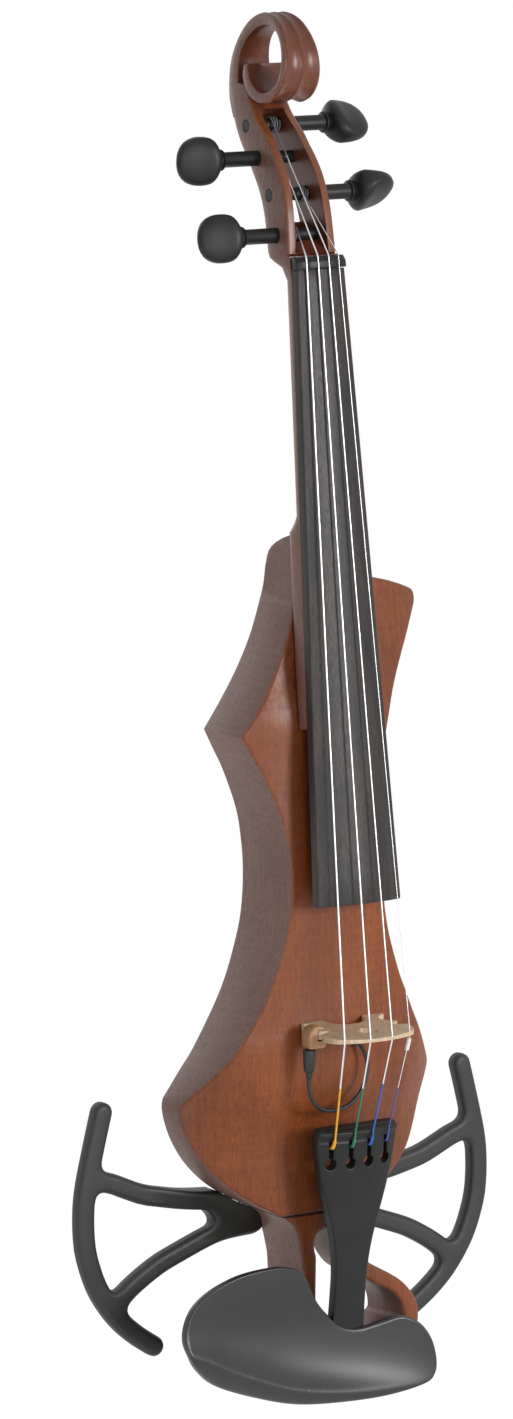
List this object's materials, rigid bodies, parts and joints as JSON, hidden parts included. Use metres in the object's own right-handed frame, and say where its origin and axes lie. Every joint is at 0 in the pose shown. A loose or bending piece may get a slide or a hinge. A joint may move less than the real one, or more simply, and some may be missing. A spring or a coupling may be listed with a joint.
{
  "type": "electric violin",
  "caption": "Electric violin with an asymmetric solid body, open ring scroll, curved wings either side, chinrest, pegs that turn, strings, and a hinged battery lid in the back.",
  "frame": {"origin": "on the flat back face of the body, straight behind the bridge", "axes": "+X towards the treble side, +Y out of the back, +Z along the body towards the scroll"},
  "size_m": [0.2142, 0.1052, 0.5947],
  "materials": {
    "body_finish": "satin",
    "neck_finish": "satin",
    "ebony": "satin",
    "pale_wood": "satin",
    "black_fittings": "satin",
    "string_metal": "satin",
    "white_plastic": "satin",
    "tan_plastic": "matte",
    "black_rubber": "matte",
    "black_plastic": "matte",
    "cork": "matte",
    "plated_steel": "polished",
    "dark_wings": "satin",
    "green_board": "satin",
    "battery_case": "satin"
  },
  "bodies": {
    "violin": {"body": "body_finish", "tail_frame": "body_finish", "tail_dowel_bass": "pale_wood", "tail_dowel_treble": "pale_wood", "neck": "neck_finish", "fingerboard": "ebony", "nut": "ebony", "string_g": "string_metal", "string_d": "string_metal", "string_a": "string_metal", "string_e": "string_metal", "string_e_sleeve": "white_plastic", "bridge": "pale_wood", "pickup": "tan_plastic", "pickup_strain_relief": "black_rubber", "pickup_lead": "black_rubber", "lead_grommet": "black_rubber", "tailpiece": "black_fittings", "tail_gut": "black_plastic", "saddle": "ebony", "end_button": "black_fittings", "chinrest": "black_fittings", "chinrest_cork_front": "cork", "chinrest_cork_back": "cork", "chinrest_clamp_plate": "plated_steel", "chinrest_barrel_outer": "plated_steel", "chinrest_barrel_inner": "plated_steel", "wing_bass": "dark_wings", "wing_treble": "dark_wings", "wing_pin_bass_outer": "plated_steel", "wing_pin_bass_inner": "plated_steel", "wing_pin_treble_outer": "plated_steel", "wing_pin_treble_inner": "plated_steel", "back_cover": "black_plastic", "cover_screw_1": "plated_steel", "cover_screw_2": "plated_steel", "cover_screw_3": "plated_steel", "cover_screw_4": "plated_steel", "volume_pot": "plated_steel", "tone_pot": "plated_steel", "preamp_board": "green_board", "battery": "battery_case", "battery_clip": "black_plastic", "lid_hinge_pin": "plated_steel", "output_jack": "plated_steel"},
    "peg_g": {"peg_g": "black_fittings"},
    "peg_e": {"peg_e": "black_fittings"},
    "peg_d": {"peg_d": "black_fittings"},
    "peg_a": {"peg_a": "black_fittings"},
    "volume_knob": {"volume_knob": "black_plastic"},
    "tone_knob": {"tone_knob": "black_plastic"},
    "battery_lid": {"battery_lid": "black_plastic"}
  },
  "joints": [
    {"name": "peg_g_turn", "type": "hinge", "parent": "violin", "child": "peg_g", "pos_m": [0, -0.00928, 0.3379], "axis": [1, 0, 0], "continuous": true},
    {"name": "peg_e_turn", "type": "hinge", "parent": "violin", "child": "peg_e", "pos_m": [0, -0.00309, 0.35441], "axis": [1, 0, 0], "continuous": true},
    {"name": "peg_d_turn", "type": "hinge", "parent": "violin", "child": "peg_d", "pos_m": [0, 0.00701, 0.36952], "axis": [1, 0, 0], "continuous": true},
    {"name": "peg_a_turn", "type": "hinge", "parent": "violin", "child": "peg_a", "pos_m": [0, 0.01647, 0.38258], "axis": [1, 0, 0], "continuous": true},
    {"name": "volume_turn", "type": "hinge", "parent": "violin", "child": "volume_knob", "pos_m": [-0.0114, -0.004, -0.03], "axis": [0, 1, 0], "range_deg": [-150, 150]},
    {"name": "tone_turn", "type": "hinge", "parent": "violin", "child": "tone_knob", "pos_m": [0.0114, -0.004, -0.03], "axis": [0, 1, 0], "range_deg": [-150, 150]},
    {"name": "battery_lid_hinge", "type": "hinge", "parent": "violin", "child": "battery_lid", "pos_m": [0, -0.0021, 0.0731], "axis": [1, 0, 0], "range_deg": [0, 105]}
  ]
}
